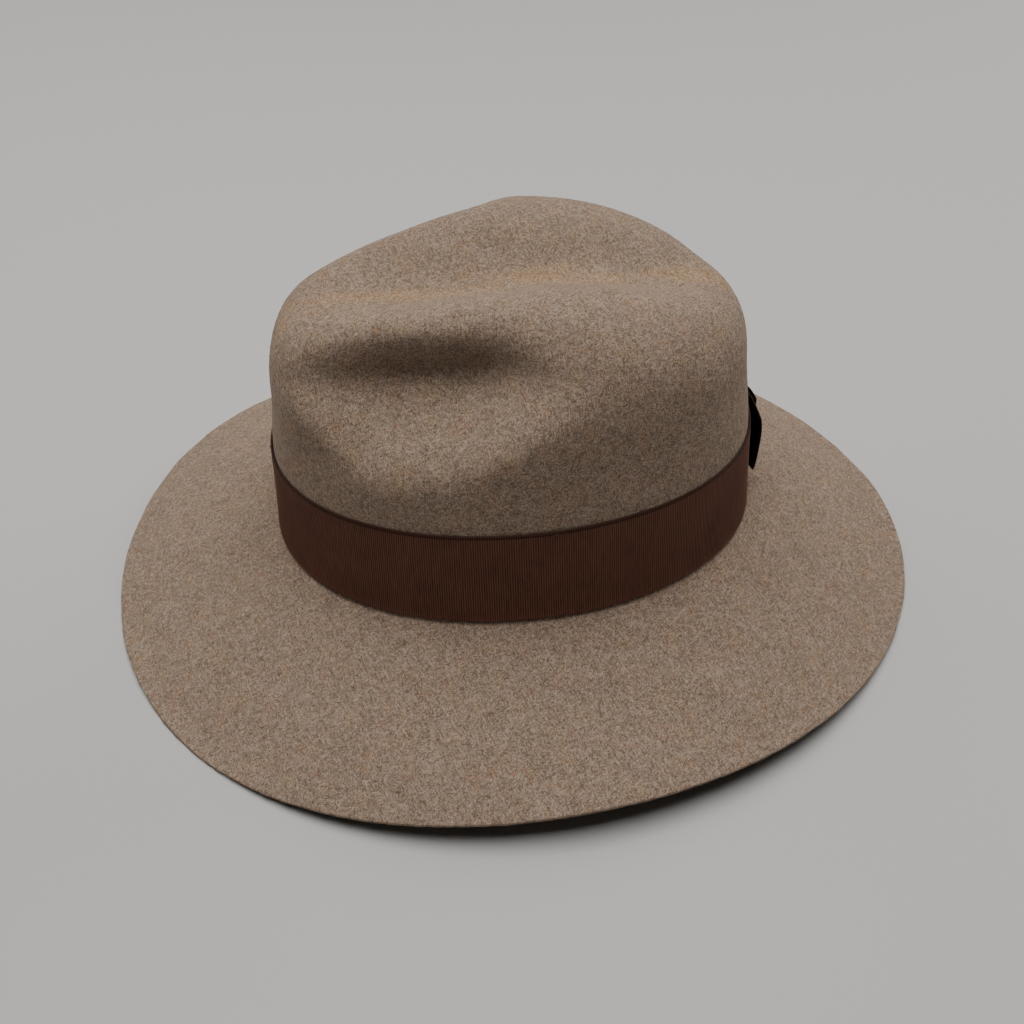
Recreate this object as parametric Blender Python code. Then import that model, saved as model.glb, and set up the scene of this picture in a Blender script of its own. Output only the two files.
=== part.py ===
# Wide-brim felt fedora: one-piece felt hood, ribbon band with a flat bow, and a reeded sweatband.
# Metres, +Z up.  Front of the hat is -Y, the wearer's left is +X, the brim rests on z = 0.
import bpy
import bmesh
import math
import numpy as np

for _ob in list(bpy.data.objects):
    bpy.data.objects.remove(_ob, do_unlink=True)

MM = 0.001

# ---------------------------------------------------------------- driving dimensions (millimetres)
HEAD_HALF_W = 88.8        # half width of the felt crown, outside, at the bottom of the ribbon
HEAD_HALF_L = 104.4       # half length, same place
BREAK_Z = 39.3            # mean height of the ribbon's lower edge over the rest plane
BREAK_FRONT = -1.2        # the break line dips or rises front to back by this much
BREAK_SADDLE = -3.75      # and is higher at the sides than at front and back by this much
CROWN_TOP = 159.2         # height of the crown's ridges
CROWN_SPRING = 106.8      # height where the wall starts to roll over into the top
CROWN_ARCH = 0.00105      # fall of the top towards front and back, per mm squared
CROWN_ARCH_Y = -1.9
CROWN_LEAN = -0.0217      # the crown leans forward by this much per mm of height
SIDE_POWER, END_POWER = 2.85, 3.3      # squareness of the shoulder at the sides and at the ends
TAPER_SIDE, TAPER_SIDE_UP = 0.037, 0.035
TAPER_END, TAPER_END_UP = 0.0217, 0.015
CREASE_DEPTH, CREASE_WIDTH, CREASE_Y = 17.6, 26.1, 6.0
PINCH_DEPTH, PINCH_ANGLE, PINCH_CREST = 34.3, 59.4, 150.2     # side dents: depth, angle from the front, height of the lip
PINCH_RISE, PINCH_BOW = 8.0, 8.3          # the lip rises to the back and bows down at both ends
LIP_UP, LIP_DOWN = 10.7, 23.1             # height over which the lip turns in
FLOOR_TOP, FLOOR_END = 11.7, 55.0         # height over which the floor comes out again
PINCH_FORE, PINCH_AFT, PINCH_NARROW = 53.2, 52.0, 0.61        # half widths fore and aft, and how they narrow downwards
PINCH_SHIFT, PINCH_DROP = -2.2, 0.16
FELT = 2.2                # felt thickness
FILLET = 3.0              # radius where the crown turns into the brim
BRIM_HALF_W, BRIM_HALF_L = 163.3, 181.2
EDGE_Z = 4.35             # mean height of the brim's top face at its edge, before it settles
EDGE_REST = 2.2           # where the brim lies on the surface, its top face is this high
RIBBON_WIDTH = 40.6
RIBBON_T = 0.7
GAP = 0.3
BAND_T = 1.0              # sweatband thickness
BAND_UP, BAND_DOWN = 36.0, -2.3
REED_R, REED_D, REED_H = 0.6, 3.1, -4.0
BOW_AT = -12.0            # middle of the bow, mm along the wall from the centre back towards the wearer's left
TAIL_TOP, TAIL_LOW = 36.2, 21.3          # half width of the bow's tails at the ribbon's top and bottom edges
TAIL_STAND, TAIL_BELLY = 3.1, 0.7        # how far the tail ends stand off the wall, and bulge at mid height
LOOP_SHARE, LOOP_DEPTH, LOOP_T = 0.55, 1.9, 0.5   # the loop's share of the tails' width, its depth, ribbon thickness
KNOT_HALF = 6.5

N = 64                    # columns round the hat


def smooth(x, a, b):
    u = np.clip((x - a) / (b - a), 0.0, 1.0)
    return u * u * (3.0 - 2.0 * u)


def break_z(t):
    return BREAK_Z + BREAK_FRONT * np.cos(t) + BREAK_SADDLE * np.cos(2 * t)


def edge_z(t):
    # the soft brim rests on three arcs: front left, back, and right rear; between them it lifts
    return (EDGE_Z + 1.00 * np.cos(t) - 2.75 * np.cos(2 * t) + 0.12 * np.cos(3 * t)
            + 2.95 * np.sin(t) - 2.15 * np.sin(2 * t) - 3.50 * np.sin(3 * t))


def edge_xy(t):
    g = 1.0 + (0.67 * np.sin(2 * t) - 0.37 * np.cos(4 * t) - 1.28 * np.cos(3 * t)) / 175.0
    return BRIM_HALF_W * np.sin(t) * g, -BRIM_HALF_L * np.cos(t) * g


def plan_normal(t):
    nx, ny = np.sin(t) / HEAD_HALF_W, -np.cos(t) / HEAD_HALF_L
    k = np.hypot(nx, ny)
    return nx / k, ny / k


def taper(h):
    up = smooth(h, 35.0, 75.0)
    return (1.0 - TAPER_SIDE * h / 41.0 - TAPER_SIDE_UP * up,
            1.0 - TAPER_END * h / 41.0 - TAPER_END_UP * up)


def pinch_depth(t, z, side):
    a = t * side - math.radians(PINCH_ANGLE)
    a = np.arctan2(np.sin(a), np.cos(a))
    below = PINCH_CREST + PINCH_RISE * np.clip(a, -0.8, 0.8) - PINCH_BOW * a * a - z
    lip = smooth(below, -LIP_UP, LIP_DOWN)
    floor = (1.0 - np.clip((below - FLOOR_TOP) / (FLOOR_END - FLOOR_TOP), 0.0, 1.0)) ** 1.1
    floor = floor * floor * (3.0 - 2.0 * floor)
    low = smooth(below, 10.0, FLOOR_END)
    a = a - math.radians(PINCH_SHIFT) * low
    spread = np.where(a < 0, PINCH_FORE, PINCH_AFT) * (1.0 - PINCH_NARROW * low)
    return PINCH_DEPTH * lip * floor * np.exp(-np.abs(a * 97.0 / spread) ** 3.7)


def crown(t, s):
    """Outer face of the crown. s = 0 at the top centre, 0.6 at the shoulder, 1 at the break."""
    t, s = np.broadcast_arrays(np.asarray(t, float), np.asarray(s, float))
    z0 = break_z(t) - 0.5
    lat = np.sin(t) ** 2
    n = SIDE_POWER * lat + END_POWER * (1.0 - lat)
    phi = np.clip(1.0 - s / 0.6, 0.0, 1.0) * math.pi / 2
    k = (np.cos(phi) ** n + np.sin(phi) ** n) ** (1.0 / n)
    c, v = np.cos(phi) / k, np.sin(phi) / k
    c = np.where(s <= 0.0, 0.0, c)
    wall = np.clip((1.0 - s) / 0.4, 0.0, 1.0)
    h_wall = (CROWN_SPRING - z0) * wall
    h = np.where(s > 0.6, h_wall, CROWN_SPRING + (CROWN_TOP - CROWN_SPRING) * v - z0)
    kx, ky = taper(h)
    x = HEAD_HALF_W * np.sin(t) * kx * c
    y = -HEAD_HALF_L * np.cos(t) * ky * c + CROWN_LEAN * h
    top = CROWN_TOP - CROWN_ARCH * (y - CROWN_ARCH_Y) ** 2
    z = np.where(s > 0.6, z0 + h_wall, CROWN_SPRING + (top - CROWN_SPRING) * v)
    nx, ny = plan_normal(t)
    for side in (1.0, -1.0):
        d = pinch_depth(t, z, side) * smooth(c, 0.0, 0.35)
        x, y, z = x - d * nx, y - d * ny, z - PINCH_DROP * d
    crease = (CREASE_DEPTH * np.exp(-(x / CREASE_WIDTH) ** 2)
              * (1.0 - smooth(np.abs(y - CREASE_Y), 40.0, 104.0)) * smooth(z, 117.0, 149.0))
    return np.stack([x, y, z - crease], -1)


def wall(t, h, out):
    """Point beside the crown wall: h above the break line, out mm outside the felt."""
    t, h, out = np.broadcast_arrays(np.asarray(t, float), np.asarray(h, float), np.asarray(out, float))
    kx, ky = taper(np.maximum(h, -1.0))
    nx, ny = plan_normal(t)
    return np.stack([HEAD_HALF_W * np.sin(t) * kx + out * nx,
                     -HEAD_HALF_L * np.cos(t) * ky + CROWN_LEAN * h + out * ny,
                     break_z(t) - 0.5 + h + 0.0 * out], -1)


def fillet_end(t):
    ex, ey = edge_xy(t)
    run = np.hypot(ex, ey) - np.hypot(HEAD_HALF_W * np.sin(t), HEAD_HALF_L * np.cos(t)) - FILLET
    slope = np.arctan2(break_z(t) - 3.3 - edge_z(t), run)
    return math.pi / 2 - slope


def fillet(t, f):
    """f = 0 on the wall, 1 on the brim: the concave turn of the upper face."""
    b = fillet_end(t) * f
    return wall(t, 0.0, 0.0) + FILLET * (
        (1.0 - np.cos(b))[..., None] * np.stack([*plan_normal(t), 0.0 * t], -1)
        - np.sin(b)[..., None] * np.array([0.0, 0.0, 1.0]))


def brim(t, q):
    """q = 0 at the fillet, 1 at the cut edge: upper face of the brim."""
    a = fillet(t, np.ones_like(t))
    ex, ey = edge_xy(t)
    x = a[..., 0] + (ex - a[..., 0]) * q
    y = a[..., 1] + (ey - a[..., 1]) * q
    z = a[..., 2] + (edge_z(t) - a[..., 2]) * q
    return np.stack([x, y, np.maximum(z, EDGE_REST)], -1)


T = np.arange(N) * 2.0 * math.pi / N
_ex, _ey = edge_xy(T)
CENTRE = np.array([(_ex.max() + _ex.min()) / 2, (_ey.max() + _ey.min()) / 2, 0.0])

# ---------------------------------------------------------------- mesh helpers


def material(name, rgb, rough, metal=0.0):
    m = bpy.data.materials.new(name)
    m.use_nodes = True
    p = m.node_tree.nodes["Principled BSDF"]
    p.inputs["Base Color"].default_value = (*rgb, 1.0)
    p.inputs["Roughness"].default_value = rough
    p.inputs["Metallic"].default_value = metal
    return m


def make(name, verts, faces, mat, smooth_angle=35.0):
    me = bpy.data.meshes.new(name)
    me.from_pydata([tuple((np.asarray(v) - CENTRE) * MM) for v in verts], [], faces)
    me.validate()
    bm = bmesh.new()
    bm.from_mesh(me)
    bmesh.ops.remove_doubles(bm, verts=bm.verts, dist=1e-6)
    bmesh.ops.recalc_face_normals(bm, faces=bm.faces)
    if bm.calc_volume(signed=True) < 0:
        bmesh.ops.reverse_faces(bm, faces=bm.faces)
    bm.to_mesh(me)
    bm.free()
    me.shade_smooth()
    me.set_sharp_from_angle(angle=math.radians(smooth_angle))
    ob = bpy.data.objects.new(name, me)
    bpy.context.collection.objects.link(ob)
    me.materials.append(mat)
    return ob


def rings_solid(name, rings, mat, wrap=False, closed=True, **kw):
    """Skin a list of rings of equal length; a ring of one point is a pole. closed: each ring is a loop.
    wrap: the last ring joins the first.  Open strips (closed=False) get end caps when wrapped."""
    verts, faces, start = [], [], []
    for r in rings:
        start.append(len(verts))
        verts.extend([tuple(p) for p in np.atleast_2d(r)])
    size = [len(np.atleast_2d(r)) for r in rings]
    n = max(size)
    pairs = list(zip(range(len(rings) - 1), range(1, len(rings))))
    if wrap:
        pairs.append((len(rings) - 1, 0))
    for a, b in pairs:
        for i in range(n if closed else n - 1):
            j = (i + 1) % n
            if size[a] == 1:
                faces.append((start[a], start[b] + i, start[b] + j))
            elif size[b] == 1:
                faces.append((start[a] + i, start[b], start[a] + j))
            else:
                faces.append((start[a] + i, start[b] + i, start[b] + j, start[a] + j))
    if not closed:
        faces.append(tuple(s for s in start))
        faces.append(tuple(s + n - 1 for s in reversed(start)))
    return make(name, verts, faces, mat, **kw)


def offset_rings(fn, params, dist):
    """Rings of fn(T, p) pushed by dist along the local normal (positive is outward and up)."""
    out = []
    e = 1e-3
    for p in params:
        c = fn(T, np.full(N, p))
        dt = fn(T + e, np.full(N, p)) - fn(T - e, np.full(N, p))
        ds = fn(T, np.full(N, p + e)) - fn(T, np.full(N, p - e))
        nrm = np.cross(ds, dt)
        nrm /= np.linalg.norm(nrm, axis=1)[:, None]
        out.append(c + dist * nrm)
    return out


# ---------------------------------------------------------------- materials
FELT_MAT = material("felt", (0.262, 0.195, 0.141), 0.95)
RIBBON_MAT = material("ribbon", (0.030, 0.013, 0.009), 0.6)
BOW_MAT = material("bow", (0.020, 0.010, 0.008), 0.6)
BAND_MAT = material("sweatband_leather", (0.060, 0.032, 0.020), 0.5)
TAPE_MAT = material("reed_tape", (0.10, 0.065, 0.045), 0.8)
REED_MAT = material("reed", (0.55, 0.50, 0.42), 0.4)
THREAD_MAT = material("thread", (0.16, 0.11, 0.08), 0.7)
LABEL_MAT = material("label", (0.55, 0.50, 0.42), 0.6)

# ---------------------------------------------------------------- felt body: crown and brim are one felt
S_CROWN = [0.035, 0.08, 0.13, 0.19, 0.25, 0.31, 0.37, 0.43, 0.49, 0.55, 0.61, 0.68, 0.75, 0.82, 0.91, 1.0]
F_FILLET = [0.35, 0.7]
Q_BRIM = [0.0, 0.25, 0.5, 0.75, 0.955, 0.99]
outer = [crown(0.0, 0.0)[None, :]]
outer += offset_rings(crown, S_CROWN, 0.0)
outer += offset_rings(fillet, F_FILLET, 0.0)
outer += offset_rings(brim, Q_BRIM, 0.0)
edge_top = brim(T, np.full(N, 0.99))
edge_side = brim(T, np.full(N, 1.0))
rim = [edge_side - np.array([0.0, 0.0, 0.65]), edge_side - np.array([0.0, 0.0, 1.55])]
inner = offset_rings(brim, Q_BRIM, -FELT)[::-1]
for r in inner[:2]:
    r[:, 2] = np.maximum(r[:, 2] - 0.35, 0.0)
for r in inner:
    r[:, 2] = np.maximum(r[:, 2], 0.0)
inner += offset_rings(fillet, F_FILLET, -FELT)[::-1]
inner += offset_rings(crown, S_CROWN, -FELT)[::-1]
inner += [crown(0.0, 0.0)[None, :] - np.array([0.0, 0.0, FELT])]
rings_solid("felt_body", outer + rim + inner, FELT_MAT)

# ---------------------------------------------------------------- ribbon band: a strip whose ends meet under the bow
HALF_SLIT = 0.4 / HEAD_HALF_W


def strip_columns(half_slit, n=N):
    """Angles from one side of a slit at the back right round to its other side."""
    return np.concatenate([[math.pi + half_slit], math.pi + np.arange(1, n) * 2 * math.pi / n,
                           [3 * math.pi - half_slit]])


TC = strip_columns(HALF_SLIT)
ribbon = [wall(TC, h + 0.5, o) for h, o in (
    (0.0, GAP), (RIBBON_WIDTH / 2, GAP), (RIBBON_WIDTH, GAP),
    (RIBBON_WIDTH, GAP + RIBBON_T), (RIBBON_WIDTH / 2, GAP + RIBBON_T), (0.0, GAP + RIBBON_T))]
rings_solid("hatband_ribbon", ribbon, RIBBON_MAT, wrap=True, closed=False)


# ---------------------------------------------------------------- bow at the back, a little to the wearer's right
def back_angle(u):
    return math.pi - np.asarray(u, float) / HEAD_HALF_W


def bow_half(h):
    """Half width of the bow's tails: their ends are cut on a slant, longer at the top."""
    return TAIL_LOW + (TAIL_TOP - TAIL_LOW) * h / RIBBON_WIDTH


def tail_off(f, h):
    """Inner face of the tails: stiff ribbon that stands off the round wall towards its ends, f = -1 to 1."""
    return 2.0 + (TAIL_STAND + TAIL_BELLY * math.sin(math.pi * h / RIBBON_WIDTH)) * f * f


def slab(name, us, hs, o0, o1, mat, place=back_angle):
    """A thin curved plate lying along the wall; o0 and o1 are functions of u and h. place gives each point's angle."""
    us, hs = np.asarray(us, float), np.asarray(hs, float)
    rings = []
    loop = [(h, 0) for h in hs] + [(h, 1) for h in hs[::-1]]
    for h, face in loop:
        off = np.array([(o1 if face else o0)(u, h) for u in us])
        at = place(us) if place is back_angle else place(us, h)
        rings.append(wall(at, h + 0.5, off))
    return rings_solid(name, rings, mat, wrap=True, closed=False)


def bow_angle(f, h):
    return back_angle(BOW_AT + np.asarray(f, float) * bow_half(h))


slab("bow_strip", np.linspace(-1, 1, 17), [0.5, 13.8, 27.0, 40.3],
     lambda f, h: tail_off(f, h), lambda f, h: tail_off(f, h) + 0.5, BOW_MAT, place=bow_angle)

# flattened ribbon loop over the middle of the tails: a ring in plan, flaring upwards like the tails
def loop_outline(inset, h):
    """Ring in (f, out); inset is the ribbon's thickness for the inner face."""
    end = LOOP_SHARE
    depth = LOOP_DEPTH
    half = bow_half(h)
    fs = np.linspace(-end, end, 13)
    pts = [(f, tail_off(f, h) + 0.85 + inset) for f in fs]
    rad = depth / 2
    mid = tail_off(end, h) + 0.85 + rad
    for k in range(1, 6):
        a = -math.pi / 2 + math.pi * k / 6
        pts.append((end + (rad + 0.4 - inset) * math.cos(a) / half, mid + (rad - inset) * math.sin(a)))
    for f in fs[::-1]:
        waist = 0.55 * math.exp(-(f * half / 7.0) ** 2)
        pts.append((f, tail_off(f, h) + 0.85 + depth - waist - inset))
    for k in range(1, 6):
        a = math.pi / 2 + math.pi * k / 6
        pts.append((-end + (rad + 0.4 - inset) * math.cos(a) / half, mid + (rad - inset) * math.sin(a)))
    return pts


rings = []
for inset, hs in ((0.0, (1.2, 20.0, 39.4)), (LOOP_T, (39.4, 20.0, 1.2))):
    for h in hs:
        rings.append(np.array([wall(bow_angle(f, h), h + 0.5, o) for f, o in loop_outline(inset, h)]))
rings_solid("bow_loop", rings, BOW_MAT, wrap=True, closed=True)

# knot: a band wrapped round the loop and the tails, a closed ring in (height, out)
KNOT_LOW, KNOT_HIGH, KNOT_FRONT, KNOT_BACK = 0.1, 40.7, 5.15, 1.65


def knot_outline(grow):
    h0, h1, o0, o1 = KNOT_LOW - grow, KNOT_HIGH + grow, KNOT_BACK - grow * 0.6, KNOT_FRONT + grow
    r = 0.6 + grow * 0.5
    pts = []
    for (ch, co, a0) in ((h0 + r, o0 + r * 0.5, math.pi), (h1 - r, o0 + r * 0.5, 1.5 * math.pi),
                         (h1 - r, o1 - r, 0.0), (h0 + r, o1 - r, 0.5 * math.pi)):
        ro = r * 0.5 if co < 2.5 else r
        for k in range(4):
            a = a0 + (math.pi / 2) * k / 3
            pts.append((ch + r * math.cos(a), co + ro * math.sin(a)))
    return pts


us = BOW_AT + np.linspace(-KNOT_HALF, KNOT_HALF, 4)
rings = []
for grow, seq in ((0.0, us), (0.6, us[::-1])):
    for u in seq:
        rings.append(np.array([wall(back_angle(u), h + 0.5, o) for h, o in knot_outline(grow)]))
rings_solid("bow_knot", rings, BOW_MAT, wrap=True, closed=True)


# ---------------------------------------------------------------- small thread tacks that hold the ribbon's top edge
def tube(name, centre, r, sides, mat, closed=False):
    """Round tube through a list of points, with flat ends, or joined up when closed."""
    c = np.asarray(centre, float)
    n = len(c)
    rings = []
    for i in range(n):
        a, b = (c[i - 1], c[(i + 1) % n]) if closed else (c[max(i - 1, 0)], c[min(i + 1, n - 1)])
        d = (b - a) / np.linalg.norm(b - a)
        up = np.array([0.0, 0.0, 1.0]) if abs(d[2]) < 0.9 else np.array([1.0, 0.0, 0.0])
        e1 = np.cross(d, up)
        e1 /= np.linalg.norm(e1)
        e2 = np.cross(d, e1)
        rings.append(np.array([c[i] + r * (math.cos(k * 2 * math.pi / sides) * e1
                                           + math.sin(k * 2 * math.pi / sides) * e2) for k in range(sides)]))
    if closed:
        return rings_solid(name, rings, mat, wrap=True, closed=True)
    return rings_solid(name, [c[0][None, :]] + rings + [c[-1][None, :]], mat)


for nm, ang in (("tack_stitch_front", 0.0), ("tack_stitch_left", 90.0), ("tack_stitch_right", 270.0)):
    t0 = math.radians(ang)
    path = [wall(t0 + du / HEAD_HALF_W, RIBBON_WIDTH - 1.0 + 0.5, GAP + RIBBON_T + 0.62) for du in (-1.1, -0.4, 0.4, 1.1)]
    tube(nm, path, 0.28, 6, THREAD_MAT)

# ---------------------------------------------------------------- sweatband, reed, tape, seam
IN0 = -(FELT + GAP)
IN1 = IN0 - BAND_T
band = [wall(TC, h + 0.5, o) for h, o in (
    (BAND_DOWN, IN0), (BAND_UP / 2, IN0), (BAND_UP, IN0), (BAND_UP, IN1), (BAND_UP / 2, IN1), (BAND_DOWN, IN1))]
rings_solid("sweatband", band, BAND_MAT, wrap=True, closed=False)

TR = np.arange(N) * 2 * math.pi / N
tube("sweatband_reed", wall(TR, REED_H + 0.5, -REED_D), REED_R, 6, REED_MAT, closed=True)

# tape folded round the reed, open at the top where its two edges meet the band
TAPE_IN, TAPE_OUT = REED_R + 0.35, REED_R + 0.7
section = []
for r, seq in ((TAPE_IN, range(0, 9)), (TAPE_OUT, range(8, -1, -1))):
    for k in seq:
        a = math.radians(90 + 35 + (360 - 70) * k / 8)
        section.append((r * math.cos(a), r * math.sin(a)))
rings_solid("reed_tape", [wall(TR, REED_H + 0.5 + dh, -REED_D + do) for do, dh in section], TAPE_MAT,
            wrap=True, closed=True)

STITCHES = 48
path = []
for i in range(STITCHES * 2):
    t0 = 2 * math.pi * i / (STITCHES * 2)
    path.append(wall(t0, 1.2 + (0.7 if i % 2 else -0.7) + 0.5, IN1 - GAP - 0.26))
tube("sweatband_stitching", path, 0.24, 4, THREAD_MAT, closed=True)

# little flat bow that covers the sweatband's join at the back, and a blank size tag at the rear left
slab("sweatband_bow", np.linspace(-8.5, 8.5, 9), [9.0, 13.0, 17.0, 21.0],
     lambda u, h: IN1 - GAP - 0.05,
     lambda u, h: IN1 - GAP - 0.55 - 1.0 * math.sin(math.pi * min(1.0, abs(u) / 8.5)) * math.sin(math.pi * (h - 9.0) / 12.0),
     BAND_MAT)
slab("size_label", np.linspace(34.0, 56.0, 6), [20.0, 27.0, 34.0],
     lambda u, h: IN1 - GAP - 0.05, lambda u, h: IN1 - GAP - 0.40, LABEL_MAT)
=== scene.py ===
import bpy
import math
import numpy as np
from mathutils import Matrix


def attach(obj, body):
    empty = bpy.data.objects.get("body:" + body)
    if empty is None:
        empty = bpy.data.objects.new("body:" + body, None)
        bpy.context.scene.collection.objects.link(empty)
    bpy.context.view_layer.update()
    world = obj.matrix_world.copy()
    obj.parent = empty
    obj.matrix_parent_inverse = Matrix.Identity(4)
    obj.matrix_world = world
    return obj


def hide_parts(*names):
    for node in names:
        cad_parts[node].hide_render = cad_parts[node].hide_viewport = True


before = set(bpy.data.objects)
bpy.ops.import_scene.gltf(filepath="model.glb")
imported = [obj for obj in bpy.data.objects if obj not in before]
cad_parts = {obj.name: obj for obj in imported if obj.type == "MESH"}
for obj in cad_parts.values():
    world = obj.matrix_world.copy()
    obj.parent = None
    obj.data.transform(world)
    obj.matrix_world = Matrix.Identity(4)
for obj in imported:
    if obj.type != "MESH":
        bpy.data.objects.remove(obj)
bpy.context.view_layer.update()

MM = 0.001

# ------------------------------------------------------------------ dimensions, millimetres, as in the CAD model
HEAD_HALF_W, HEAD_HALF_L = 88.8, 104.4
BREAK_Z, BREAK_FRONT, BREAK_SADDLE = 39.3, -1.2, -3.75
CROWN_TOP, CROWN_SPRING = 159.2, 106.8
CROWN_ARCH, CROWN_ARCH_Y, CROWN_LEAN = 0.00105, -1.9, -0.0217
SIDE_POWER, END_POWER = 2.85, 3.3
TAPER_SIDE, TAPER_SIDE_UP = 0.037, 0.035
TAPER_END, TAPER_END_UP = 0.0217, 0.015
CREASE_DEPTH, CREASE_WIDTH, CREASE_Y = 17.6, 26.1, 6.0
PINCH_DEPTH, PINCH_ANGLE, PINCH_CREST = 34.3, 59.4, 150.2     # side dents: depth, angle from the front, height of the lip
PINCH_RISE, PINCH_BOW = 8.0, 8.3          # the lip rises to the back and bows down at both ends
LIP_UP, LIP_DOWN = 10.7, 23.1             # height over which the lip turns in
FLOOR_TOP, FLOOR_END = 11.7, 55.0         # height over which the floor comes out again
PINCH_FORE, PINCH_AFT, PINCH_NARROW = 53.2, 52.0, 0.61        # half widths fore and aft, and how they narrow downwards
PINCH_SHIFT, PINCH_DROP = -2.2, 0.16
FELT = 2.2
FILLET = 3.0
BRIM_HALF_W, BRIM_HALF_L = 163.3, 181.2
EDGE_Z, EDGE_REST = 4.35, 2.2
RIBBON_WIDTH = 40.6
GAP, RIBBON_T, BAND_T = 0.3, 0.7, 1.0
BAND_UP, BAND_DOWN = 36.0, -2.3
REED_R, REED_D, REED_H = 0.6, 3.1, -4.0
BOW_AT = -12.0
TAIL_TOP, TAIL_LOW = 36.2, 21.3
TAIL_STAND, TAIL_BELLY = 3.1, 0.7
LOOP_SHARE, LOOP_DEPTH, LOOP_T = 0.55, 1.9, 0.5
KNOT_HALF = 6.5
RIB = 0.92                 # grosgrain rib pitch


def smooth(x, a, b):
    u = np.clip((x - a) / (b - a), 0.0, 1.0)
    return u * u * (3.0 - 2.0 * u)


def break_z(t):
    return BREAK_Z + BREAK_FRONT * np.cos(t) + BREAK_SADDLE * np.cos(2 * t)


def edge_z(t):
    return (EDGE_Z + 1.00 * np.cos(t) - 2.75 * np.cos(2 * t) + 0.12 * np.cos(3 * t)
            + 2.95 * np.sin(t) - 2.15 * np.sin(2 * t) - 3.50 * np.sin(3 * t))


def edge_xy(t):
    g = 1.0 + (0.67 * np.sin(2 * t) - 0.37 * np.cos(4 * t) - 1.28 * np.cos(3 * t)) / 175.0
    return BRIM_HALF_W * np.sin(t) * g, -BRIM_HALF_L * np.cos(t) * g


def plan_normal(t):
    nx, ny = np.sin(t) / HEAD_HALF_W, -np.cos(t) / HEAD_HALF_L
    k = np.hypot(nx, ny)
    return nx / k, ny / k


def taper(h):
    up = smooth(h, 35.0, 75.0)
    return (1.0 - TAPER_SIDE * h / 41.0 - TAPER_SIDE_UP * up,
            1.0 - TAPER_END * h / 41.0 - TAPER_END_UP * up)


def pinch_depth(t, z, side):
    a = t * side - math.radians(PINCH_ANGLE)
    a = np.arctan2(np.sin(a), np.cos(a))
    below = PINCH_CREST + PINCH_RISE * np.clip(a, -0.8, 0.8) - PINCH_BOW * a * a - z
    lip = smooth(below, -LIP_UP, LIP_DOWN)
    floor = (1.0 - np.clip((below - FLOOR_TOP) / (FLOOR_END - FLOOR_TOP), 0.0, 1.0)) ** 1.1
    floor = floor * floor * (3.0 - 2.0 * floor)
    low = smooth(below, 10.0, FLOOR_END)
    a = a - math.radians(PINCH_SHIFT) * low
    spread = np.where(a < 0, PINCH_FORE, PINCH_AFT) * (1.0 - PINCH_NARROW * low)
    return PINCH_DEPTH * lip * floor * np.exp(-np.abs(a * 97.0 / spread) ** 3.7)


def crown(t, s):
    z0 = break_z(t) - 0.5
    lat = np.sin(t) ** 2
    n = SIDE_POWER * lat + END_POWER * (1.0 - lat)
    phi = np.clip(1.0 - s / 0.6, 0.0, 1.0) * math.pi / 2
    k = (np.cos(phi) ** n + np.sin(phi) ** n) ** (1.0 / n)
    c, v = np.cos(phi) / k, np.sin(phi) / k
    c = np.where(s <= 0.0, 0.0, c)
    h_wall = (CROWN_SPRING - z0) * np.clip((1.0 - s) / 0.4, 0.0, 1.0)
    h = np.where(s > 0.6, h_wall, CROWN_SPRING + (CROWN_TOP - CROWN_SPRING) * v - z0)
    kx, ky = taper(h)
    x = HEAD_HALF_W * np.sin(t) * kx * c
    y = -HEAD_HALF_L * np.cos(t) * ky * c + CROWN_LEAN * h
    top = CROWN_TOP - CROWN_ARCH * (y - CROWN_ARCH_Y) ** 2
    z = np.where(s > 0.6, z0 + h_wall, CROWN_SPRING + (top - CROWN_SPRING) * v)
    nx, ny = plan_normal(t)
    for side in (1.0, -1.0):
        d = pinch_depth(t, z, side) * smooth(c, 0.0, 0.35)
        x, y, z = x - d * nx, y - d * ny, z - PINCH_DROP * d
    crease = (CREASE_DEPTH * np.exp(-(x / CREASE_WIDTH) ** 2)
              * (1.0 - smooth(np.abs(y - CREASE_Y), 40.0, 104.0)) * smooth(z, 117.0, 149.0))
    return np.stack([x, y, z - crease], -1)


def wall(t, h, out):
    t, h, out = np.broadcast_arrays(np.asarray(t, float), np.asarray(h, float), np.asarray(out, float))
    kx, ky = taper(np.maximum(h, -1.0))
    nx, ny = plan_normal(t)
    return np.stack([HEAD_HALF_W * np.sin(t) * kx + out * nx,
                     -HEAD_HALF_L * np.cos(t) * ky + CROWN_LEAN * h + out * ny,
                     break_z(t) - 0.5 + h + 0.0 * out], -1)


def fillet_end(t):
    ex, ey = edge_xy(t)
    run = np.hypot(ex, ey) - np.hypot(HEAD_HALF_W * np.sin(t), HEAD_HALF_L * np.cos(t)) - FILLET
    return math.pi / 2 - np.arctan2(break_z(t) - 3.3 - edge_z(t), run)


def fillet(t, f):
    b = fillet_end(t) * f
    nx, ny = plan_normal(t)
    return wall(t, 0.0 * t, 0.0 * t) + FILLET * (
        (1.0 - np.cos(b))[..., None] * np.stack([nx, ny, 0.0 * t], -1)
        - np.sin(b)[..., None] * np.array([0.0, 0.0, 1.0]))


def brim(t, q):
    a = fillet(t, np.ones_like(t))
    ex, ey = edge_xy(t)
    x = a[..., 0] + (ex - a[..., 0]) * q
    y = a[..., 1] + (ey - a[..., 1]) * q
    z = a[..., 2] + (edge_z(t) - a[..., 2]) * q
    z = 0.5 * (z + EDGE_REST + np.sqrt((z - EDGE_REST) ** 2 + 0.35))
    return np.stack([x, y, z], -1)


_T64 = np.arange(64) * 2 * math.pi / 64
_ex, _ey = edge_xy(_T64)
CENTRE = np.array([(_ex.max() + _ex.min()) / 2, (_ey.max() + _ey.min()) / 2, 0.0])

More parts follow.
